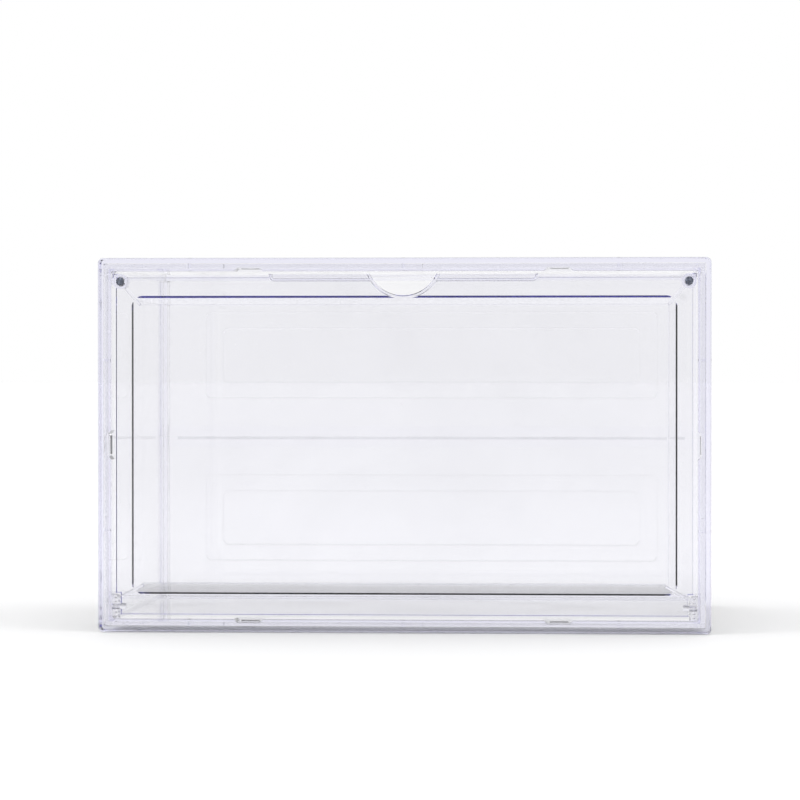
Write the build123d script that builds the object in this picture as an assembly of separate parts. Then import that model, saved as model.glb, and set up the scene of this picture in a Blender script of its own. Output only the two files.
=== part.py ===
"""Drop-front shoe box: clear moulded panels snapped together, with a hinged door held by magnets.

Millimetres. The origin is on the surface the box stands on, under its middle.
+X is to the right when facing the door, +Y runs to the back, and +Z is up.
"""

from build123d import *
import math
import os

# Whole box
WIDTH, DEPTH, HEIGHT = 360.0, 280.0, 220.0
FRONT, REAR, MIDDLE = -DEPTH / 2, DEPTH / 2, HEIGHT / 2
OUTER_RADIUS = 3.0

# Section of the rims at the front and the back: outer wall, channel for the panels, inner wall
OUTER_WALL, CHANNEL, INNER_WALL = 3.1, 3.1, 1.7
RIM = OUTER_WALL + CHANNEL + INNER_WALL
RIM_DEPTH, RIM_WEB = 20.0, 2.4
RIM_FILLET, MOUTH_FILLET, RIM_CHAMFER, CHANNEL_RADIUS = 1.0, 0.6, 0.5, 0.8
RIB_THICKNESS, RIB_DEPTH, RIB_DRAFT = 1.7, 6.0, 2.5
RIB_ACROSS = (-126.0, 0.0, 126.0)
RIB_UP = (MIDDLE - 50.0, MIDDLE + 50.0)
SEAT_GAP = 0.1

# Four wall panels, centred in the channel
PANEL = 2.5
PANEL_GAP = (CHANNEL - PANEL) / 2
PANEL_INSET = OUTER_WALL + PANEL_GAP
PANEL_FRONT = FRONT + RIM_WEB + RIB_DEPTH + SEAT_GAP
PANEL_REAR = -PANEL_FRONT
CORNER_GAP = 0.1
LOCATING_RIB, LOCATING_HEIGHT, LOCATING_CLEARANCE = 1.6, 3.0, 1.0

# Snap lugs on the panels, and the windows in the rims that they click into
WINDOW_WIDTH, WINDOW_TOP_WIDTH, WINDOW_HEIGHT, WINDOW_DEPTH = 17.2, 12.4, 1.9, 16.0
LUG_WIDTH, LUG_HEIGHT, LUG_TOE_HEIGHT, LUG_LENGTH = 11.0, 0.6, 0.1, 5.0
LUG_PLAY = 0.4
SNAP_ACROSS = 91.0
WINDOW_FLARE = 0.35

# Back panels
BACK_PLATE = 2.4
SEAM_GAP = 0.1
SEAM_RAIL_HEIGHT, SEAM_RAIL_DEPTH = 7.0, 4.0
TONGUE, TONGUE_PLAY, TONGUE_SETBACK, TONGUE_SHORT = 1.6, 0.15, 1.4, 6.0
EMBOSS_DEPTH, EMBOSS_RADIUS, EMBOSS_TAPER = 0.7, 4.5, 58.0
EMBOSS_SIZES = ((298.0, 57.4), (275.0, 36.5))
EMBOSS_RISE = 53.5

# Door
DOOR_WIDTH, DOOR_LOW, DOOR_HIGH = 339.0, 10.2, 208.7
DOOR_FRONT, DOOR_PLATE = FRONT + 1.4, 2.2
DOOR_RADIUS, DOOR_FILLET, DOOR_CHAMFER = 2.0, 0.4, 0.45
EDGE_BREAK = 0.3
DISH_WIDTH, DISH_HEIGHT, DISH_RADIUS = 319.8, 174.6, 6.5
DISH_DEPTH, COVE = 1.2, 7.2
RISE_TOP_SLOPE, RISE_SLOPE = 0.9, 0.65
DOOR_REAR = DOOR_FRONT + DOOR_PLATE
DISH_REAR = DOOR_REAR + DISH_DEPTH
CORNER_RIB, CORNER_RIB_DRAFT, CORNER_RIB_STAND = 2.0, 12.0, 0.3
UPPER_RIB_END = (155.0, 192.2)
LOWER_RIB_ENDS = ((166.2, 20.6), (153.0, 27.7))

# Finger notch, and the pull ledge with its flange along the door's top edge
NOTCH_RADIUS, NOTCH_CENTRE = 21.4, 219.2
LEDGE_HALF, LEDGE_LOW, LEDGE_HIGH, LEDGE_RADIUS = 79.0, 206.1, 210.5, 3.2
FLANGE, FLANGE_FORWARD, FLANGE_BACK, FLANGE_DRAFT = 2.0, 0.9, DISH_DEPTH, 24.0
FLANGE_BREAK = 0.15

# Hinge: pins moulded on the door turn in blocks moulded in the frame's lower corners
HINGE_Y, HINGE_Z = FRONT + 2.6, 15.0
PIN_RADIUS, PIN_PLAY = 1.6, 0.05
BLOCK_INNER, BLOCK_HIGH, BLOCK_ROUND = 167.3, 22.3, 2.4
BLOCK_FRONT, BLOCK_REAR = FRONT + 0.4, FRONT + 7.0
KNUCKLE_RADIUS, KNUCKLE_LENGTH, KNUCKLE_END = 2.1, 3.0, 166.7
PIN_END, PIN_TIP, BORE_END = 171.2, 0.4, 171.8
LEAD_IN, BLOCK_BREAK = 0.6, 0.5
CORING_RADIUS, CORING_DRAFT, CORING_X, CORING_Z = 0.9, 10.0, 170.0, (9.6, 12.0, 18.2, 20.6)

# Magnets, their bosses on the door and their posts on the frame
MAGNET_X, MAGNET_Z = 167.1, 206.3
MAGNET_RADIUS, MAGNET_LENGTH, MAGNET_PLAY, MAGNET_RECESS, MAGNET_BED = 2.45, 2.0, 0.05, 0.2, 0.06
MAGNET_BREAK = 0.15
BOSS_RADIUS, BOSS_MOUTH, BOSS_CORNER = 4.4, 3.3, 4.3
BOSS_REAR = DOOR_FRONT + 4.6
POST_FRONT, POST_REAR, POST_WEB = BOSS_REAR + 0.4, FRONT + 14.0, 1.8

# Round marks left by the mould's ejector pins, as (x, z)
EJECTOR_RADIUS, EJECTOR_DEPTH = 2.0, 0.15
DOOR_EJECTORS = ((-132.0, 15.4), (-99.8, 15.4), (-34.6, 15.4), (34.6, 15.4), (96.7, 15.4), (132.0, 15.4))
RIM_EJECTOR_RADIUS = 1.3
RIM_EJECTOR_Z = OUTER_WALL + CHANNEL / 2
RIM_EJECTORS = [(x, z) for x in (-122.0, 122.0) for z in (RIM_EJECTOR_Z, HEIGHT - RIM_EJECTOR_Z)]

EXTRA = 1.0  # how far a cutter runs past the face that it opens
OVERLAP = 0.3  # how far a piece is sunk into the one that it joins


def block(x_span, y_span, z_span):
    """Makes a box from its low and high coordinates on each axis."""
    size = (x_span[1] - x_span[0], y_span[1] - y_span[0], z_span[1] - z_span[0])
    return Pos(x_span[0], y_span[0], z_span[0]) * Box(*size, align=(Align.MIN, Align.MIN, Align.MIN))


def slab(outline, y_front, y_rear):
    """Extrudes an outline drawn in X and Z from one depth to another."""
    return extrude(Plane.XZ.offset(-y_rear) * outline, amount=y_rear - y_front)


def drafted(outline, y_base, y_tip, draft):
    """Extrudes an outline drawn in X and Z from y_base to y_tip, narrowing as it goes."""
    return extrude(Plane.XZ.offset(-y_base) * outline, amount=y_base - y_tip, taper=draft)


def rounded(width, height, radius, centre_z=MIDDLE):
    """Draws a rounded rectangle centred on the box's width."""
    return Pos(0, centre_z) * RectangleRounded(width, height, radius)


def inset(distance, radius):
    """Draws the box's outline moved inward."""
    return rounded(WIDTH - 2 * distance, HEIGHT - 2 * distance, radius)


def disc(x, z, radius, y_front, y_rear):
    """Makes a cylinder that lies along Y."""
    return slab(Pos(x, z) * Circle(radius), y_front, y_rear)


def cylinder_x(radius, x_from, x_to):
    """Makes a cylinder on the hinge's axis."""
    return extrude(Plane.YZ.offset(x_from) * Pos(HINGE_Y, HINGE_Z) * Circle(radius), amount=x_to - x_from)


def both_sides(shape):
    """Pairs a right-hand shape with its left-hand mirror image."""
    return [shape, mirror(shape, about=Plane.YZ)]


def edges_at(shape, y):
    """Picks the edges that lie wholly at one depth."""
    return shape.edges().filter_by_position(Axis.Y, y, y)


# ---- Rims


def is_inside_rim(edge):
    """Says whether an edge lies on a rim's inner outline or within it."""
    middle = edge @ 0.5
    return abs(middle.X) < WIDTH / 2 - RIM + 0.1 and abs(middle.Z - MIDDLE) < MIDDLE - RIM + 0.1


def rim_ring(y_face, inward):
    """Makes a rim: outer wall, channel and inner wall, closed at y_face and open the way inward points."""
    y_mouth = y_face + inward * RIM_DEPTH
    ring = slab(inset(0, OUTER_RADIUS), *sorted((y_face, y_mouth)))
    ring = chamfer(edges_at(ring, y_mouth), RIM_CHAMFER)
    ring = fillet(edges_at(ring, y_face), RIM_FILLET)
    ring = ring - slab(inset(RIM, CHANNEL_RADIUS), *sorted((y_face - inward, y_mouth + inward)))
    ring = fillet([edge for edge in edges_at(ring, y_face) if is_inside_rim(edge)], MOUTH_FILLET)
    channel_floor = y_face + inward * RIM_WEB
    channel = inset(OUTER_WALL, CHANNEL_RADIUS) - inset(OUTER_WALL + CHANNEL, CHANNEL_RADIUS)
    ring = ring - slab(channel, *sorted((channel_floor, y_mouth + inward)))
    return ring + channel_ribs((channel_floor, channel_floor + inward * RIB_DEPTH))


def channel_ribs(y_span):
    """Makes the cross ribs in a rim's channel that the panels' edges seat on."""
    reach = CHANNEL + 2 * OVERLAP
    centre = OUTER_WALL + CHANNEL / 2
    y_base, y_tip = y_span
    level = Rectangle(RIB_THICKNESS, reach)
    upright = Rectangle(reach, RIB_THICKNESS)
    ribs = []
    for x in RIB_ACROSS:
        ribs += [drafted(Pos(x, z) * level, y_base, y_tip, RIB_DRAFT) for z in (centre, HEIGHT - centre)]
    for z in RIB_UP:
        ribs += both_sides(drafted(Pos(WIDTH / 2 - centre, z) * upright, y_base, y_tip, RIB_DRAFT))
    return ribs


def window_outline():
    """Draws a snap window with sloped ends, its depth measured along +Y from the rim's outer face."""
    edge, depth = RIM + EXTRA, RIM - WINDOW_HEIGHT
    slope = EXTRA * (WINDOW_WIDTH - WINDOW_TOP_WIDTH) / 2 / WINDOW_HEIGHT
    wide, narrow = WINDOW_WIDTH / 2 + slope, WINDOW_TOP_WIDTH / 2
    return make_face(Polyline((-wide, edge), (wide, edge), (narrow, depth), (-narrow, depth), close=True))


def snap_windows():
    """Makes the cutters for the front rim's snap windows, with flared mouths in its face."""
    low = window_outline()
    high = Pos(0, HEIGHT) * mirror(low, about=Plane.XZ)
    outlines = []
    for x in (-SNAP_ACROSS, SNAP_ACROSS):
        outlines += [Pos(x, 0) * low, Pos(x, 0) * high]
    right = Pos(WIDTH / 2, MIDDLE) * Rot(0, 0, 90) * window_outline()
    outlines += [right, mirror(right, about=Plane.YZ)]
    cutters = []
    for outline in outlines:
        mouth = offset(outline, WINDOW_FLARE, kind=Kind.INTERSECTION)
        cutters.append(slab(outline, FRONT - EXTRA, FRONT + WINDOW_DEPTH))
        cutters.append(drafted(mouth, FRONT, FRONT + WINDOW_FLARE, 45))
    return cutters


def hinge_block():
    """Makes the right-hand bearing block, round at its top, before it is bored."""
    body = block(
        (BLOCK_INNER, WIDTH / 2 - RIM + EXTRA), (BLOCK_FRONT, BLOCK_REAR), (RIM - EXTRA, BLOCK_HIGH)
    )
    top_inner = body.edges().filter_by(Axis.Y).sort_by_distance((BLOCK_INNER, HINGE_Y, BLOCK_HIGH))[0]
    body = fillet(top_inner, BLOCK_ROUND)
    return chamfer(edges_at(body, BLOCK_FRONT), BLOCK_BREAK)


def hinge_bores():
    """Makes the cutters for the right-hand block: pin bore, lead-in groove and two coring holes."""
    radius = PIN_RADIUS + PIN_PLAY
    bore = cylinder_x(radius, BLOCK_INNER - EXTRA, BORE_END)
    groove = block(
        (BLOCK_INNER - EXTRA, BLOCK_INNER + LEAD_IN),
        (HINGE_Y, BLOCK_REAR + EXTRA),
        (HINGE_Z - radius, HINGE_Z + radius),
    )
    cone = drafted(Circle(CORING_RADIUS), BLOCK_REAR, HINGE_Y, CORING_DRAFT)
    corings = [Pos(CORING_X, 0, z) * cone for z in CORING_Z]
    return [bore, groove, *corings]


def magnet_post():
    """Makes the right-hand magnet post and the web that ties it to the frame's corner."""
    post = disc(MAGNET_X, MAGNET_Z, BOSS_RADIUS, POST_FRONT, POST_REAR)
    reach_x, reach_z = WIDTH / 2 - RIM + EXTRA - MAGNET_X, HEIGHT - RIM + EXTRA - MAGNET_Z
    length = math.hypot(reach_x, reach_z)
    turn = Rot(0, 0, math.degrees(math.atan2(reach_z, reach_x)))
    web = Pos(MAGNET_X, MAGNET_Z) * turn * Pos(length / 2, 0) * Rectangle(length, POST_WEB)
    socket_floor = POST_FRONT + MAGNET_RECESS + MAGNET_LENGTH + MAGNET_BED
    socket = disc(MAGNET_X, MAGNET_Z, MAGNET_RADIUS + MAGNET_PLAY, POST_FRONT - EXTRA, socket_floor)
    return post + slab(web, POST_FRONT, POST_REAR) - socket


def front_frame():
    """Makes the ring at the mouth of the box, with its hinge blocks and magnet posts."""
    frame = rim_ring(FRONT, 1) - snap_windows()
    frame = frame + both_sides(magnet_post()) + both_sides(hinge_block())
    for cutter in hinge_bores():
        frame = frame - both_sides(cutter)
    channel_floor = FRONT + RIM_WEB
    marks = [
        disc(x, z, RIM_EJECTOR_RADIUS, channel_floor - EJECTOR_DEPTH, channel_floor + EXTRA)
        for x, z in RIM_EJECTORS
    ]
    return frame - marks


# ---- Wall panels


def lug_bar():
    """Makes one snap lug as seen from the side: a ramp up from the panel's end, standing on Z = 0."""
    toe, heel = FRONT + WINDOW_DEPTH - LUG_PLAY - LUG_LENGTH, FRONT + WINDOW_DEPTH - LUG_PLAY
    corners = ((toe, -OVERLAP), (heel, -OVERLAP), (heel, LUG_HEIGHT), (toe, LUG_TOE_HEIGHT))
    side = make_face(Polyline(*corners, close=True))
    return extrude(Plane.YZ.offset(-LUG_WIDTH / 2) * side, amount=LUG_WIDTH)


def level_panel(is_top):
    """Makes the bottom wall, or turns it over to make the top one."""
    half = WIDTH / 2 - PANEL_INSET
    plate = block((-half, half), (PANEL_FRONT, PANEL_REAR), (PANEL_INSET, PANEL_INSET + PANEL))
    rib_x = half - PANEL - PANEL_GAP
    rib_y = FRONT + RIM_DEPTH + LOCATING_CLEARANCE
    upper_face = PANEL_INSET + PANEL
    rib = block(
        (rib_x - LOCATING_RIB, rib_x), (rib_y, -rib_y), (upper_face - OVERLAP, upper_face + LOCATING_HEIGHT)
    )
    lugs = [Pos(x, 0, upper_face) * lug_bar() for x in (-SNAP_ACROSS, SNAP_ACROSS)]
    panel = plate + both_sides(rib) + lugs
    return mirror(panel, about=Plane.XY.offset(MIDDLE)) if is_top else panel


def right_side_panel():
    """Makes the right-hand wall, which stands between the top and bottom walls."""
    high = HEIGHT - PANEL_INSET - PANEL - CORNER_GAP
    x_outer = WIDTH / 2 - PANEL_INSET
    plate = block((x_outer - PANEL, x_outer), (PANEL_FRONT, PANEL_REAR), (HEIGHT - high, high))
    return plate + Pos(x_outer - PANEL, 0, MIDDLE) * Rot(0, -90, 0) * lug_bar()


# ---- Back panels


def whole_back():
    """Makes the back as if it were one moulding, before it is parted at the seam."""
    back = rim_ring(REAR, -1) + slab(inset(RIM - OVERLAP, CHANNEL_RADIUS), REAR - BACK_PLATE, REAR)
    for side in (-1, 1):
        centre = MIDDLE + side * EMBOSS_RISE
        for step, (width, height) in enumerate(EMBOSS_SIZES):
            outline = rounded(width, height, EMBOSS_RADIUS, centre)
            outer_face = REAR - step * EMBOSS_DEPTH
            inner_face = outer_face - BACK_PLATE
            back = back + drafted(outline, inner_face, inner_face - EMBOSS_DEPTH, EMBOSS_TAPER)
            back = back - drafted(outline, outer_face, outer_face - EMBOSS_DEPTH, EMBOSS_TAPER)
    return back


def back_halves():
    """Parts the back at mid-height, and gives each half its rail, and its tongue or groove."""
    back = whole_back()
    everywhere = (-WIDTH, WIDTH)
    rail_y = (REAR - BACK_PLATE - SEAM_RAIL_DEPTH, REAR - BACK_PLATE + OVERLAP)
    rail_half = WIDTH / 2 - RIM + OVERLAP
    upper_edge, lower_edge = MIDDLE + SEAM_GAP / 2, MIDDLE - SEAM_GAP / 2
    upper = back & block(everywhere, everywhere, (upper_edge, WIDTH))
    lower = back & block(everywhere, everywhere, (-EXTRA, lower_edge))
    upper = upper + block((-rail_half, rail_half), rail_y, (upper_edge, MIDDLE + SEAM_RAIL_HEIGHT))
    lower = lower + block((-rail_half, rail_half), rail_y, (MIDDLE - SEAM_RAIL_HEIGHT, lower_edge))
    tongue_front = rail_y[0] + TONGUE_SETBACK
    tongue_half = rail_half - TONGUE_SHORT
    upper = upper + block(
        (-tongue_half, tongue_half),
        (tongue_front, tongue_front + TONGUE),
        (lower_edge - TONGUE, upper_edge + OVERLAP),
    )
    groove = block(
        (-tongue_half - TONGUE_PLAY, tongue_half + TONGUE_PLAY),
        (tongue_front - TONGUE_PLAY, tongue_front + TONGUE + TONGUE_PLAY),
        (lower_edge - TONGUE - TONGUE_PLAY, lower_edge + EXTRA),
    )
    return upper, lower - groove


# ---- Door


def cove_trough(half_span, plane, length):
    """Makes a long trough with coved sides, on a plane whose X runs across it and whose Y is outward."""
    flat = half_span - COVE
    radius = (COVE**2 + DISH_DEPTH**2) / (2 * DISH_DEPTH)
    half_turn = math.asin(COVE / radius) / 2
    mid = (flat + radius * math.sin(half_turn), radius * (1 - math.cos(half_turn)) - DISH_DEPTH)
    outline = [
        Polyline((half_span, 0), (half_span, EXTRA), (-half_span, EXTRA), (-half_span, 0)),
        ThreePointArc((-half_span, 0), (-mid[0], mid[1]), (-flat, -DISH_DEPTH)),
        Line((-flat, -DISH_DEPTH), (flat, -DISH_DEPTH)),
        ThreePointArc((flat, -DISH_DEPTH), mid, (half_span, 0)),
    ]
    return extrude(plane * make_face(outline), amount=length / 2, both=True)


def door_dish():
    """Makes the cutter for the dish in the door's front face, mitred at its corners."""
    centre = (0, DOOR_FRONT, MIDDLE)
    upright = Plane(origin=centre, x_dir=(1, 0, 0), z_dir=(0, 0, -1))
    level = Plane(origin=centre, x_dir=(0, 0, 1), z_dir=(1, 0, 0))
    limit = slab(rounded(DISH_WIDTH, DISH_HEIGHT, DISH_RADIUS), DOOR_FRONT - EXTRA, DISH_REAR)
    upright_trough = cove_trough(DISH_WIDTH / 2, upright, 2 * HEIGHT)
    level_trough = cove_trough(DISH_HEIGHT / 2, level, 2 * WIDTH)
    return upright_trough & level_trough & limit


def door_rise():
    """Makes the raised panel behind the dish, with a gentler slope along its top than on its other sides."""
    half, low, high = DISH_WIDTH / 2, MIDDLE - DISH_HEIGHT / 2, MIDDLE + DISH_HEIGHT / 2
    step, top_step = RISE_SLOPE / 2, RISE_TOP_SLOPE / 2
    across = (
        (half + step, DOOR_REAR),
        (half - step, DISH_REAR),
        (step - half, DISH_REAR),
        (-half - step, DOOR_REAR),
    )
    up = (
        (DOOR_REAR, low - step),
        (DISH_REAR, low + step),
        (DISH_REAR, high - top_step),
        (DOOR_REAR, high + top_step),
    )
    upright = extrude(Plane.XY * make_face(Polyline(*across, close=True)), amount=HEIGHT)
    level = extrude(Plane.YZ * make_face(Polyline(*up, close=True)), amount=WIDTH, both=True)
    corners = rounded(DISH_WIDTH + RISE_SLOPE, DISH_HEIGHT + RISE_TOP_SLOPE, DISH_RADIUS)
    return upright & level & slab(corners, DOOR_REAR, DISH_REAR)


def corner_rib(start, end):
    """Makes one diagonal rib on the door's two faces between two points in X and Z."""
    run_x, run_z = end[0] - start[0], end[1] - start[1]
    length = math.hypot(run_x, run_z)
    turn = Rot(0, 0, math.degrees(math.atan2(run_z, run_x)))
    outline = Pos(*start) * turn * Pos(length / 2, 0) * Rectangle(length, CORNER_RIB)
    middle = DOOR_REAR - OVERLAP
    forward = drafted(outline, middle, DOOR_FRONT + SEAT_GAP, CORNER_RIB_DRAFT)
    return [forward, drafted(outline, middle, DISH_REAR + CORNER_RIB_STAND, CORNER_RIB_DRAFT)]


def door_outline():
    """Draws the door's border, cut back at the lower corners beside the hinge blocks."""
    outline = rounded(DOOR_WIDTH, DOOR_HIGH - DOOR_LOW, DOOR_RADIUS, (DOOR_LOW + DOOR_HIGH) / 2)
    clearance = BLOCK_INNER - KNUCKLE_END
    cut_width, cut_height = DOOR_WIDTH / 2 - KNUCKLE_END, BLOCK_HIGH + clearance - DOOR_LOW
    corner = Pos(DOOR_WIDTH / 2, DOOR_LOW) * Rectangle(2 * cut_width, 2 * cut_height)
    return outline - corner - mirror(corner, about=Plane.YZ)


def ledge_outline(shrink, high):
    """Draws the pull ledge's outline up to a height, moved inward by shrink."""
    half, low = LEDGE_HALF - shrink, LEDGE_LOW + shrink
    height = 2 * (high - low)
    shape = Pos(0, high) * RectangleRounded(2 * half, height, min(LEDGE_RADIUS - shrink, half))
    return shape & Pos(0, high - WIDTH / 2) * Rectangle(WIDTH, WIDTH)


def ledge_flange(y_tip, notch_low):
    """Makes the flange round the ledge and the notch, drafted from the plate's face to y_tip."""
    y_plate = DOOR_FRONT if y_tip < DOOR_FRONT else DOOR_REAR
    outward = math.copysign(1, y_tip - y_plate)
    y_break = y_tip - outward * FLANGE_BREAK
    shrink = abs(y_break - y_plate) * math.tan(math.radians(FLANGE_DRAFT))
    outside = drafted(ledge_outline(0, LEDGE_HIGH), y_plate, y_break, FLANGE_DRAFT)
    outside = outside + drafted(ledge_outline(shrink, LEDGE_HIGH - shrink), y_break, y_tip, 45)
    open_high = LEDGE_HIGH + LEDGE_RADIUS
    inner = FLANGE - shrink
    pocket = drafted(ledge_outline(inner, open_high), y_break, y_plate, FLANGE_DRAFT)
    mouth = drafted(ledge_outline(inner - FLANGE_BREAK, open_high), y_tip, y_break, 45)
    notch_rim = drafted(Pos(0, NOTCH_CENTRE) * Circle(NOTCH_RADIUS + FLANGE), y_plate, y_tip, FLANGE_DRAFT)
    notch_rim = notch_rim & block((-WIDTH, WIDTH), (-DEPTH, DEPTH), (notch_low, LEDGE_HIGH))
    return outside - pocket - mouth + notch_rim


def pull_ledge():
    """Makes the ledge above the door's top edge, its flange, and the rim round the finger notch."""
    ledge = slab(ledge_outline(0, LEDGE_HIGH), DOOR_FRONT, DOOR_REAR)
    forward = ledge_flange(DOOR_FRONT - FLANGE_FORWARD, MIDDLE + DISH_HEIGHT / 2)
    return [ledge, forward, ledge_flange(DOOR_REAR + FLANGE_BACK, MIDDLE)]


def magnet_boss():
    """Makes the right-hand magnet boss on the door, squared off towards the corner."""
    round_part = Pos(MAGNET_X, MAGNET_Z) * Circle(BOSS_RADIUS)
    square = Rectangle(BOSS_CORNER, BOSS_CORNER)
    corner = Pos(MAGNET_X + BOSS_CORNER / 2, MAGNET_Z + BOSS_CORNER / 2) * square
    boss = slab(round_part + corner, DOOR_FRONT, BOSS_REAR)
    return chamfer(edges_at(boss, BOSS_REAR), EDGE_BREAK)


def magnet_pocket():
    """Makes the cutters for the right-hand magnet pocket and its countersunk mouth."""
    floor = BOSS_REAR - MAGNET_RECESS - MAGNET_LENGTH - MAGNET_BED
    radius = MAGNET_RADIUS + MAGNET_PLAY
    mouth = Pos(MAGNET_X, MAGNET_Z) * Circle(BOSS_MOUTH)
    mouth_floor = BOSS_REAR - (BOSS_MOUTH - radius)
    return [
        disc(MAGNET_X, MAGNET_Z, radius, floor, BOSS_REAR + EXTRA),
        drafted(mouth, BOSS_REAR, mouth_floor, 45),
    ]


def door():
    """Makes the door with everything that is moulded on it."""
    body = slab(door_outline(), DOOR_FRONT, DOOR_REAR)
    body = fillet(edges_at(body, DOOR_FRONT), DOOR_FILLET)
    body = chamfer(edges_at(body, DOOR_REAR), DOOR_CHAMFER)
    body = body + door_rise() - door_dish()
    body = body + pull_ledge()
    notch = Pos(0, NOTCH_CENTRE) * Circle(NOTCH_RADIUS)
    body = body - slab(notch, FRONT - EXTRA, DISH_REAR + EXTRA)
    flare = Pos(0, NOTCH_CENTRE) * Circle(NOTCH_RADIUS + EDGE_BREAK)
    body = body - drafted(flare, DISH_REAR, DISH_REAR - EDGE_BREAK, 45)
    for rib in corner_rib((MAGNET_X, MAGNET_Z), UPPER_RIB_END) + corner_rib(*LOWER_RIB_ENDS):
        body = body + both_sides(rib)
    body = body + both_sides(magnet_boss())
    for cutter in magnet_pocket():
        body = body - both_sides(cutter)
    pin = cylinder_x(PIN_RADIUS, KNUCKLE_END - EXTRA, PIN_END)
    pin = chamfer(pin.edges().sort_by(Axis.X)[-1], PIN_TIP)
    body = body + both_sides(cylinder_x(KNUCKLE_RADIUS, KNUCKLE_END - KNUCKLE_LENGTH, KNUCKLE_END))
    body = body + both_sides(pin)
    mark_floor = DOOR_REAR - EJECTOR_DEPTH
    return body - [disc(x, z, EJECTOR_RADIUS, mark_floor, DOOR_REAR + EXTRA) for x, z in DOOR_EJECTORS]


# ---- Magnets


def magnet(x, y_front):
    """Makes one plated disc magnet."""
    body = disc(x, MAGNET_Z, MAGNET_RADIUS, y_front, y_front + MAGNET_LENGTH)
    return chamfer(body.edges().filter_by(GeomType.CIRCLE), MAGNET_BREAK)


def all_parts():
    """Makes every piece of the box, by node name."""
    back_upper, back_lower = back_halves()
    side = right_side_panel()
    door_magnet_y = BOSS_REAR - MAGNET_RECESS - MAGNET_LENGTH
    frame_magnet_y = POST_FRONT + MAGNET_RECESS
    return {
        "front_frame": front_frame(),
        "door": door(),
        "left_side_panel": mirror(side, about=Plane.YZ),
        "right_side_panel": side,
        "top_panel": level_panel(is_top=True),
        "bottom_panel": level_panel(is_top=False),
        "back_panel_upper": back_upper,
        "back_panel_lower": back_lower,
        "door_magnet_left": magnet(-MAGNET_X, door_magnet_y),
        "door_magnet_right": magnet(MAGNET_X, door_magnet_y),
        "frame_magnet_left": magnet(-MAGNET_X, frame_magnet_y),
        "frame_magnet_right": magnet(MAGNET_X, frame_magnet_y),
    }


os.makedirs("parts", exist_ok=True)
for name, shape in all_parts().items():
    export_step(shape, f"parts/{name}.step")
    print(name, round(shape.volume), shape.bounding_box().size)
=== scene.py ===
"""Finishes and studio for the drop-front shoe box: clear moulded plastic, plated magnets, soft light."""

import math

import bpy
from bpy.props import FloatProperty, FloatVectorProperty, PointerProperty
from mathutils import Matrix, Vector


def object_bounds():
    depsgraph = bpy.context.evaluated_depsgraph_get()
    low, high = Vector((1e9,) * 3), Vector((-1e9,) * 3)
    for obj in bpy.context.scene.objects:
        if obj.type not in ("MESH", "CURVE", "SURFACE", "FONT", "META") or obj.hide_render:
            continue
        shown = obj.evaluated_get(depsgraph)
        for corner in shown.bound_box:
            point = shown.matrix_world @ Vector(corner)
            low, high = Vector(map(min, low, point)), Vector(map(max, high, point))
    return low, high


bl_info = {
    "name": "Drop-front shoe box",
    "version": (1, 1, 0),
    "blender": (4, 5, 0),
    "location": "3D View > Sidebar > Shoe Box",
    "description": "Dresses a clear drop-front shoe box and sets up its studio",
    "category": "Object",
}

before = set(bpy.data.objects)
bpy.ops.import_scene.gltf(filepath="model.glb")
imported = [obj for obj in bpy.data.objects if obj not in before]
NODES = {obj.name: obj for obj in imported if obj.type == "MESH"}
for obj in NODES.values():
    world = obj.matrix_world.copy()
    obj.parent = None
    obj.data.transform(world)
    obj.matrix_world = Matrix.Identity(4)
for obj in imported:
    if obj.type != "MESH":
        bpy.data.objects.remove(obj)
CAD_LOW, CAD_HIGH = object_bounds()
BOX_MIDDLE = (CAD_LOW + CAD_HIGH) / 2

DOOR = ["door"]
FRAME = ["front_frame"]
WALLS = ["left_side_panel", "right_side_panel", "top_panel", "bottom_panel"]
BACKS = ["back_panel_upper", "back_panel_lower"]
MAGNETS = [name for name in NODES if "magnet" in name]

FLOOR_RADIUS, FLOOR_GAP = 30, 0.0002
SOFTBOX_SIDE, SOFTBOX_FORWARD, SOFTBOX_HIGH = 1.7, 1.5, 1.3
SOFTBOX_SIZE = (0.9, 1.2)
LIGHT_BOUNCES, GLOSSY_BOUNCES = 64, 24


# ---------------------------------------------------------------- settings


def colour_setting(name, description, default):
    """Makes a colour property."""
    return FloatVectorProperty(
        name=name, description=description, subtype="COLOR", size=3, min=0, max=1, default=default
    )


def share_setting(name, description, default):
    """Makes a property that runs from nought to one."""
    return FloatProperty(
        name=name, description=description, subtype="FACTOR", min=0, max=1, default=default
    )


def length_setting(name, description, default):
    """Makes a property that is a length in metres."""
    return FloatProperty(
        name=name, description=description, subtype="DISTANCE", unit="LENGTH", default=default
    )


def amount_setting(name, description, default):
    """Makes a property that is nought or more."""
    return FloatProperty(name=name, description=description, min=0, default=default)


def angle_setting(name, description, degrees):
    """Makes a property that is an angle."""
    default = math.radians(degrees)
    return FloatProperty(
        name=name, description=description, subtype="ANGLE", unit="ROTATION", default=default
    )


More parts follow.
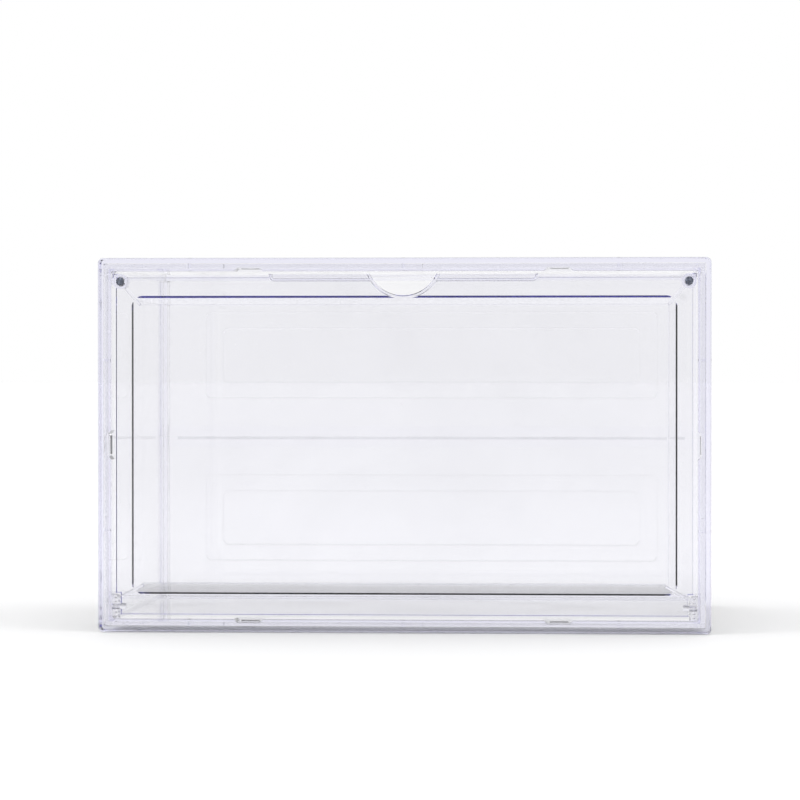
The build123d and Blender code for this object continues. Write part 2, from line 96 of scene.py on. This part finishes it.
class ShoeBoxResin(bpy.types.PropertyGroup):
    ior: FloatProperty(
        name="Index of refraction",
        description="Index of refraction of clear polystyrene",
        min=1.3,
        max=1.8,
        default=1.58,
    )
    depth_tint: colour_setting(
        "Depth tint", "Colour of light that has run a long way inside the resin", (0.2, 0.17, 0.85)
    )
    door_depth: amount_setting("Door depth", "How fast light takes on the tint inside the door", 18.0)
    rim_depth: amount_setting("Rim depth", "How fast light takes on the tint inside the frame", 8.0)
    back_depth: amount_setting("Back depth", "How fast light takes on the tint inside the back", 4.0)
    wall_depth: amount_setting("Wall depth", "How fast light takes on the tint inside the walls", 0.4)
    clean: colour_setting("Clean face", "Share of light that each face passes", (0.938, 0.938, 0.943))
    haze_loss: share_setting("Haze loss", "Share of light that a hazed patch stops", 0.025)
    polish: share_setting("Polish", "Roughness of a polished face", 0.01)
    haze_roughness: share_setting("Haze roughness", "Roughness that full haze adds", 0.05)
    ripple: length_setting("Ripple", "Depth of the slow ripple that moulding leaves in a face", 0.00003)
    peel: length_setting("Orange peel", "Depth of the fine unevenness of a moulded face", 0.0000015)
    speck_height: length_setting("Speck height", "Height of a speck of dust", 0.00004)
    specks: share_setting("Specks", "How much of a face carries specks of dust", 0.4)


class ShoeBoxMagnet(bpy.types.PropertyGroup):
    # The plating colour is a painted dark reflection: plated metal, bright under any lamp, is given a
    # dark navy to stand in for the dark surroundings that it mirrors.
    colour: colour_setting("Colour", "Colour of the plating", (0.03, 0.045, 0.09))
    # The second plating colour is a painted highlight, laid on the lighter spots that noise scatters.
    smudge_and_highlight: colour_setting("Worn colour", "Colour of the plating where it is rubbed", (0.25, 0.3, 0.38))
    roughness: share_setting("Roughness", "Roughness of the plating", 0.32)


class ShoeBoxStudio(bpy.types.PropertyGroup):
    floor_colour: colour_setting("Floor colour", "Colour of the pale floor", (0.93, 0.93, 0.935))
    surround: amount_setting("Surround", "Brightness of the pale surround", 1.0)
    ceiling: share_setting(
        "Ceiling", "Brightness of the surround high up, as a share of its white", 0.8
    )
    overhead: amount_setting("Overhead", "Strength of the soft light overhead", 0.75)
    overhead_angle: angle_setting("Overhead angle", "Angle that the light overhead fills", 70)
    side_light: FloatProperty(
        name="Side light",
        description="Power of each soft light beside the camera",
        unit="POWER",
        min=0,
        default=6.0,
    )
    camera_side: length_setting(
        "Camera offset", "How far the camera stands to the right of the middle", 0.1485
    )
    camera_distance: length_setting(
        "Camera distance", "From the camera to the front of the box", 2.262
    )
    camera_height: length_setting("Camera height", "Height of the camera above the floor", 0.1576)
    camera_turn: angle_setting("Camera turn", "How far the camera is turned to the left", 3.80)
    camera_tilt: angle_setting("Camera tilt", "How far the camera looks down", 0.53)
    lens: FloatProperty(
        name="Lens",
        description="Focal length of the camera",
        subtype="DISTANCE_CAMERA",
        min=20,
        default=174.3,
    )


# ---------------------------------------------------------------- shader helpers


def add_node(tree, kind, place, **settings):
    """Adds one node and sets its plain properties."""
    node = tree.nodes.new(kind)
    node.location = place
    for name, value in settings.items():
        setattr(node, name, value)
    return node


def set_inputs(node, **values):
    """Sets unlinked inputs by name, with an underscore for each space."""
    for name, value in values.items():
        node.inputs[name.replace("_", " ")].default_value = value


def colour_mix(tree, place, factor, first, second):
    """Mixes two colours by a mask, and returns the mixed colour's socket."""
    mix = add_node(tree, "ShaderNodeMix", place, data_type="RGBA")
    tree.links.new(factor, mix.inputs["Factor"])
    tree.links.new(first, mix.inputs["A"])
    tree.links.new(second, mix.inputs["B"])
    return mix.outputs["Result"]


def new_group(name, inputs, outputs):
    """Starts a shader node group with named sockets, and returns it with its two end nodes."""
    group = bpy.data.node_groups.new(name, "ShaderNodeTree")
    for label, kind in inputs:
        group.interface.new_socket(label, in_out="INPUT", socket_type=kind)
    for label, kind in outputs:
        group.interface.new_socket(label, in_out="OUTPUT", socket_type=kind)
    start = add_node(group, "NodeGroupInput", (-1200, 0))
    end = add_node(group, "NodeGroupOutput", (700, 0))
    return group, start, end


def moulded_face_group():
    """Height of a moulded face: a slow ripple, fine orange peel and specks of dust."""
    name = "moulded_face"
    if name in bpy.data.node_groups:
        return bpy.data.node_groups[name]
    inputs = [(label, "NodeSocketFloat") for label in ("Ripple", "Peel", "Speck Height", "Specks")]
    outputs = [("Height", "NodeSocketFloat"), ("Speck Mask", "NodeSocketFloat")]
    group, start, end = new_group(name, inputs, outputs)
    link = group.links.new
    place = add_node(group, "ShaderNodeTexCoord", (-1200, -300))

    slow = add_node(group, "ShaderNodeTexNoise", (-900, 200))
    set_inputs(slow, Scale=16.0, Detail=1.5, Roughness=0.4)
    link(place.outputs["Object"], slow.inputs["Vector"])
    fine = add_node(group, "ShaderNodeTexNoise", (-900, -50))
    set_inputs(fine, Scale=420.0, Detail=2.0, Roughness=0.5)
    link(place.outputs["Object"], fine.inputs["Vector"])

    grain = add_node(group, "ShaderNodeTexVoronoi", (-900, -350))
    set_inputs(grain, Scale=85.0, Randomness=1.0)
    link(place.outputs["Object"], grain.inputs["Vector"])
    size = add_node(group, "ShaderNodeSeparateColor", (-700, -450))
    link(grain.outputs["Color"], size.inputs["Color"])
    chosen = add_node(group, "ShaderNodeMath", (-500, -450), operation="LESS_THAN")
    link(size.outputs["Red"], chosen.inputs[0])
    link(start.outputs["Specks"], chosen.inputs[1])
    reach = add_node(group, "ShaderNodeMapRange", (-500, -650))
    set_inputs(reach, From_Min=0.0, From_Max=1.0, To_Min=0.02, To_Max=0.07)
    link(size.outputs["Green"], reach.inputs["Value"])
    near = add_node(group, "ShaderNodeMath", (-300, -350), operation="DIVIDE")
    link(grain.outputs["Distance"], near.inputs[0])
    link(reach.outputs["Result"], near.inputs[1])
    dome = add_node(group, "ShaderNodeMapRange", (-100, -350), interpolation_type="SMOOTHSTEP")
    set_inputs(dome, From_Min=0.4, From_Max=1.0, To_Min=1.0, To_Max=0.0)
    link(near.outputs["Value"], dome.inputs["Value"])
    mask = add_node(group, "ShaderNodeMath", (100, -350), operation="MULTIPLY")
    link(dome.outputs["Result"], mask.inputs[0])
    link(chosen.outputs["Value"], mask.inputs[1])
    link(mask.outputs["Value"], end.inputs["Speck Mask"])

    total = None
    terms = (
        (slow.outputs["Fac"], "Ripple"),
        (fine.outputs["Fac"], "Peel"),
        (mask.outputs["Value"], "Speck Height"),
    )
    for step, (value, label) in enumerate(terms):
        scaled = add_node(group, "ShaderNodeMath", (300, 200 - 200 * step), operation="MULTIPLY")
        link(value, scaled.inputs[0])
        link(start.outputs[label], scaled.inputs[1])
        if total is None:
            total = scaled.outputs["Value"]
            continue
        added = add_node(group, "ShaderNodeMath", (500, 200 - 200 * step), operation="ADD")
        link(total, added.inputs[0])
        link(scaled.outputs["Value"], added.inputs[1])
        total = added.outputs["Value"]
    link(total, end.inputs["Height"])
    return group


def handling_haze_group():
    """Tint and roughness of a handled face: soft smears, fine wipe lines and dusty specks."""
    name = "handling_haze"
    if name in bpy.data.node_groups:
        return bpy.data.node_groups[name]
    inputs = [("Clean", "NodeSocketColor"), ("Hazed", "NodeSocketColor"), ("Polish", "NodeSocketFloat")]
    inputs += [("Haze Roughness", "NodeSocketFloat"), ("Speck Mask", "NodeSocketFloat")]
    outputs = [("Color", "NodeSocketColor"), ("Roughness", "NodeSocketFloat")]
    group, start, end = new_group(name, inputs, outputs)
    link = group.links.new
    place = add_node(group, "ShaderNodeTexCoord", (-1200, -300))

    smear = add_node(group, "ShaderNodeTexNoise", (-900, 200))
    set_inputs(smear, Scale=9.0, Detail=4.0, Roughness=0.62, Distortion=0.6)
    link(place.outputs["Object"], smear.inputs["Vector"])
    patch = add_node(group, "ShaderNodeMapRange", (-700, 200), interpolation_type="SMOOTHSTEP")
    set_inputs(patch, From_Min=0.42, From_Max=0.72, To_Min=0.0, To_Max=1.0)
    link(smear.outputs["Fac"], patch.inputs["Value"])

    stretch = add_node(group, "ShaderNodeMapping", (-1050, -100))
    stretch.inputs["Rotation"].default_value = (0.2, 0.5, 0.35)
    stretch.inputs["Scale"].default_value = (30.0, 30.0, 900.0)
    link(place.outputs["Object"], stretch.inputs["Vector"])
    wipe = add_node(group, "ShaderNodeTexNoise", (-850, -100))
    set_inputs(wipe, Scale=1.0, Detail=2.0)
    link(stretch.outputs["Vector"], wipe.inputs["Vector"])
    line = add_node(group, "ShaderNodeMapRange", (-650, -100))
    set_inputs(line, From_Min=0.66, From_Max=0.78, To_Min=0.0, To_Max=0.5)
    link(wipe.outputs["Fac"], line.inputs["Value"])

    smudge_and_highlight = add_node(group, "ShaderNodeMath", (-450, 50), operation="MAXIMUM")
    link(patch.outputs["Result"], smudge_and_highlight.inputs[0])
    link(line.outputs["Result"], smudge_and_highlight.inputs[1])
    dusty = add_node(group, "ShaderNodeMath", (-250, 50), operation="MAXIMUM")
    link(smudge_and_highlight.outputs["Value"], dusty.inputs[0])
    link(start.outputs["Speck Mask"], dusty.inputs[1])
    clean, hazed = start.outputs["Clean"], start.outputs["Hazed"]
    link(colour_mix(group, (0, 200), dusty.outputs["Value"], clean, hazed), end.inputs["Color"])
    rough = add_node(group, "ShaderNodeMapRange", (0, -150))
    link(dusty.outputs["Value"], rough.inputs["Value"])
    link(start.outputs["Polish"], rough.inputs["To Min"])
    link(start.outputs["Haze Roughness"], rough.inputs["To Max"])
    link(rough.outputs["Result"], end.inputs["Roughness"])
    return group


# ---------------------------------------------------------------- materials


def clear_plastic(name, resin, depth, ripple, haze):
    """Makes a clear moulded plastic: ripple and haze scale the resin's own, depth is its absorption."""
    material = bpy.data.materials.new(name)
    material.use_nodes = True
    tree = material.node_tree
    link = tree.links.new
    shader = tree.nodes["Principled BSDF"]
    set_inputs(shader, IOR=resin.ior, Transmission_Weight=1.0)

    face = add_node(tree, "ShaderNodeGroup", (-900, -200), node_tree=moulded_face_group())
    set_inputs(face, Ripple=resin.ripple * ripple, Peel=resin.peel)
    set_inputs(face, Speck_Height=resin.speck_height, Specks=resin.specks * haze)
    wear = add_node(tree, "ShaderNodeGroup", (-600, 150), node_tree=handling_haze_group())
    hazed = [channel * (1 - resin.haze_loss * haze) for channel in resin.clean]
    set_inputs(wear, Clean=(*resin.clean, 1), Hazed=(*hazed, 1), Polish=resin.polish)
    set_inputs(wear, Haze_Roughness=resin.polish + resin.haze_roughness * haze)
    bump = add_node(tree, "ShaderNodeBump", (-600, -300))
    set_inputs(bump, Strength=1.0, Distance=1.0)
    link(face.outputs["Height"], bump.inputs["Height"])
    link(face.outputs["Speck Mask"], wear.inputs["Speck Mask"])
    link(wear.outputs["Color"], shader.inputs["Base Color"])
    link(wear.outputs["Roughness"], shader.inputs["Roughness"])
    link(bump.outputs["Normal"], shader.inputs["Normal"])

    inside = add_node(tree, "ShaderNodeVolumeAbsorption", (0, -300))
    set_inputs(inside, Color=(*resin.depth_tint, 1), Density=depth)
    link(inside.outputs["Volume"], tree.nodes["Material Output"].inputs["Volume"])
    return material


def plated_metal(settings):
    """Makes the magnets' plating: cloudy metal in a dark navy that is a painted dark reflection, with
    lighter spots that are a painted highlight.
    """
    material = bpy.data.materials.new("plated_magnet")
    material.use_nodes = True
    tree = material.node_tree
    link = tree.links.new
    shader = tree.nodes["Principled BSDF"]
    set_inputs(shader, Metallic=1.0)
    place = add_node(tree, "ShaderNodeTexCoord", (-1100, 0))
    cloud = add_node(tree, "ShaderNodeTexNoise", (-900, 150))
    set_inputs(cloud, Scale=900.0, Detail=4.0)
    link(place.outputs["Object"], cloud.inputs["Vector"])
    spots = add_node(tree, "ShaderNodeMapRange", (-700, 150))
    set_inputs(spots, From_Min=0.45, From_Max=0.7)
    link(cloud.outputs["Fac"], spots.inputs["Value"])
    # This dark navy is a painted dark reflection in place of the bright plating.
    plain = add_node(tree, "ShaderNodeRGB", (-700, 350))
    plain.outputs["Color"].default_value = (*settings.colour, 1)
    # The lighter colour on the noise spots is a painted highlight.
    highlighted = add_node(tree, "ShaderNodeRGB", (-700, 550))
    highlighted.outputs["Color"].default_value = (*settings.smudge_and_highlight, 1)
    tint = colour_mix(
        tree, (-450, 250), spots.outputs["Result"], plain.outputs["Color"], highlighted.outputs["Color"]
    )
    link(tint, shader.inputs["Base Color"])
    rough = add_node(tree, "ShaderNodeMapRange", (-450, 0))
    set_inputs(rough, To_Min=settings.roughness * 0.7, To_Max=settings.roughness * 1.5)
    link(cloud.outputs["Fac"], rough.inputs["Value"])
    link(rough.outputs["Result"], shader.inputs["Roughness"])
    grain = add_node(tree, "ShaderNodeTexNoise", (-900, -250))
    set_inputs(grain, Scale=4000.0, Detail=2.0)
    link(place.outputs["Object"], grain.inputs["Vector"])
    bump = add_node(tree, "ShaderNodeBump", (-450, -250))
    set_inputs(bump, Strength=0.4, Distance=0.00001)
    link(grain.outputs["Fac"], bump.inputs["Height"])
    link(bump.outputs["Normal"], shader.inputs["Normal"])
    return material


def dress(node_names, material):
    """Gives CAD nodes a material in place of their packed one."""
    for name in node_names:
        for slot in NODES[name].material_slots:
            slot.material = material


# ---------------------------------------------------------------- studio


def make_floor(settings):
    """Lays the plain pale floor that the box stands on."""
    bpy.ops.mesh.primitive_circle_add(vertices=96, radius=FLOOR_RADIUS, fill_type="NGON")
    floor = bpy.context.object
    floor.name = "floor"
    floor.location.z = CAD_LOW.z - FLOOR_GAP
    material = bpy.data.materials.new("floor_paper")
    material.use_nodes = True
    tree = material.node_tree
    shader = tree.nodes["Principled BSDF"]
    set_inputs(shader, Base_Color=(*settings.floor_colour, 1), Specular_IOR_Level=0.2)
    place = add_node(tree, "ShaderNodeTexCoord", (-900, 0))
    tooth = add_node(tree, "ShaderNodeTexNoise", (-700, 0))
    set_inputs(tooth, Scale=300.0, Detail=3.0)
    rough = add_node(tree, "ShaderNodeMapRange", (-450, 0))
    set_inputs(rough, To_Min=0.6, To_Max=0.8)
    tree.links.new(place.outputs["Object"], tooth.inputs["Vector"])
    tree.links.new(tooth.outputs["Fac"], rough.inputs["Value"])
    tree.links.new(rough.outputs["Result"], shader.inputs["Roughness"])
    floor.data.materials.append(material)


def make_surround(settings):
    """Makes the surround: white round the horizon, and greyer high up."""
    world = bpy.data.worlds.new("studio")
    world.use_nodes = True
    tree = world.node_tree
    sky = tree.nodes["Background"]
    set_inputs(sky, Strength=settings.surround)
    place = add_node(tree, "ShaderNodeTexCoord", (-900, 0))
    split = add_node(tree, "ShaderNodeSeparateXYZ", (-700, 0))
    ceiling = add_node(tree, "ShaderNodeMapRange", (-500, 0))
    set_inputs(ceiling, From_Min=0.45, From_Max=0.85, To_Min=1.0, To_Max=settings.ceiling)
    tree.links.new(place.outputs["Generated"], split.inputs["Vector"])
    tree.links.new(split.outputs["Z"], ceiling.inputs["Value"])
    tree.links.new(ceiling.outputs["Result"], sky.inputs["Color"])
    bpy.context.scene.world = world


def aim(thing, target):
    """Turns a light or a camera to face a point."""
    thing.rotation_mode = "QUATERNION"
    thing.rotation_quaternion = (target - thing.location).to_track_quat("-Z", "Y")


def hang_lamp(name, kind, place, energy):
    """Hangs one light at a place, and returns its object."""
    data = bpy.data.lights.new(name, kind)
    data.energy = energy
    lamp = bpy.data.objects.new(name, data)
    lamp.location = place
    bpy.context.scene.collection.objects.link(lamp)
    return lamp


def make_lights(settings):
    """Hangs the overhead light, which only the floor takes, and the two soft lights beside the camera."""
    overhead = hang_lamp("overhead", "SUN", (0, 0, 3), settings.overhead)
    overhead.data.angle = settings.overhead_angle
    overhead.data.use_shadow = False
    overhead.visible_glossy = False
    overhead.visible_transmission = False
    for name, side in (("left_softbox", -1), ("right_softbox", 1)):
        place = (side * SOFTBOX_SIDE, -SOFTBOX_FORWARD, SOFTBOX_HIGH)
        softbox = hang_lamp(name, "AREA", place, settings.side_light)
        softbox.data.shape = "RECTANGLE"
        softbox.data.size, softbox.data.size_y = SOFTBOX_SIZE
        aim(softbox, BOX_MIDDLE)


def make_camera(settings):
    """Sets the camera a little to the right of the box, level with its upper half."""
    data = bpy.data.cameras.new("camera")
    data.lens = settings.lens
    data.clip_end = 100
    camera = bpy.data.objects.new("camera", data)
    away = CAD_LOW.y - settings.camera_distance
    camera.location = (settings.camera_side, away, settings.camera_height)
    turn, tilt = settings.camera_turn, settings.camera_tilt
    level = math.cos(tilt)
    sight = Vector((-math.sin(turn) * level, math.cos(turn) * level, -math.sin(tilt)))
    aim(camera, camera.location + sight)
    bpy.context.scene.collection.objects.link(camera)
    bpy.context.scene.camera = camera


def set_light_paths():
    """Lets light run its full course inside the clear plates."""
    cycles = bpy.context.scene.cycles
    cycles.max_bounces = LIGHT_BOUNCES
    cycles.transmission_bounces = LIGHT_BOUNCES
    cycles.glossy_bounces = GLOSSY_BOUNCES


# ---------------------------------------------------------------- operators


class SHOEBOX_OT_door(bpy.types.Operator):
    """Finish the dished door"""

    bl_idname = "shoebox.door"
    bl_label = "Door"

    def execute(self, context):
        resin = context.scene.shoebox_resin
        dress(DOOR, clear_plastic("door_plastic", resin, resin.door_depth, ripple=0.6, haze=0.5))
        return {"FINISHED"}


class SHOEBOX_OT_front_frame(bpy.types.Operator):
    """Finish the frame at the mouth"""

    bl_idname = "shoebox.front_frame"
    bl_label = "Front Frame"

    def execute(self, context):
        resin = context.scene.shoebox_resin
        dress(FRAME, clear_plastic("frame_plastic", resin, resin.rim_depth, ripple=0.5, haze=0.15))
        return {"FINISHED"}


class SHOEBOX_OT_walls(bpy.types.Operator):
    """Finish the four wall panels"""

    bl_idname = "shoebox.walls"
    bl_label = "Wall Panels"

    def execute(self, context):
        resin = context.scene.shoebox_resin
        dress(WALLS, clear_plastic("wall_plastic", resin, resin.wall_depth, ripple=1.0, haze=0.4))
        return {"FINISHED"}


class SHOEBOX_OT_backs(bpy.types.Operator):
    """Finish the two back panels"""

    bl_idname = "shoebox.backs"
    bl_label = "Back Panels"

    def execute(self, context):
        resin = context.scene.shoebox_resin
        dress(BACKS, clear_plastic("back_plastic", resin, resin.back_depth, ripple=1.2, haze=1.2))
        return {"FINISHED"}


class SHOEBOX_OT_magnets(bpy.types.Operator):
    """Finish the four disc magnets"""

    bl_idname = "shoebox.magnets"
    bl_label = "Magnets"

    def execute(self, context):
        dress(MAGNETS, plated_metal(context.scene.shoebox_magnet))
        return {"FINISHED"}


class SHOEBOX_OT_studio(bpy.types.Operator):
    """Set up the floor, the surround, the lights and the camera"""

    bl_idname = "shoebox.studio"
    bl_label = "Studio"

    def execute(self, context):
        settings = context.scene.shoebox_studio
        make_floor(settings)
        make_surround(settings)
        make_lights(settings)
        make_camera(settings)
        set_light_paths()
        context.scene.view_settings.view_transform = "Standard"
        return {"FINISHED"}


class SHOEBOX_PT_panel(bpy.types.Panel):
    bl_label = "Shoe Box"
    bl_idname = "SHOEBOX_PT_panel"
    bl_space_type = "VIEW_3D"
    bl_region_type = "UI"
    bl_category = "Shoe Box"

    def draw(self, context):
        column = self.layout.column()
        for operator in OPERATORS:
            column.operator(operator.bl_idname)


OPERATORS = (
    SHOEBOX_OT_door,
    SHOEBOX_OT_front_frame,
    SHOEBOX_OT_walls,
    SHOEBOX_OT_backs,
    SHOEBOX_OT_magnets,
    SHOEBOX_OT_studio,
)
CLASSES = (ShoeBoxResin, ShoeBoxMagnet, ShoeBoxStudio, *OPERATORS, SHOEBOX_PT_panel)


def register():
    for cls in CLASSES:
        bpy.utils.register_class(cls)
    bpy.types.Scene.shoebox_resin = PointerProperty(type=ShoeBoxResin)
    bpy.types.Scene.shoebox_magnet = PointerProperty(type=ShoeBoxMagnet)
    bpy.types.Scene.shoebox_studio = PointerProperty(type=ShoeBoxStudio)


def unregister():
    del bpy.types.Scene.shoebox_studio
    del bpy.types.Scene.shoebox_magnet
    del bpy.types.Scene.shoebox_resin
    for cls in reversed(CLASSES):
        bpy.utils.unregister_class(cls)


def main():
    register()
    bpy.ops.shoebox.studio()
    bpy.ops.shoebox.door()
    bpy.ops.shoebox.front_frame()
    bpy.ops.shoebox.walls()
    bpy.ops.shoebox.backs()
    bpy.ops.shoebox.magnets()


if __name__ == "__main__":
    main()
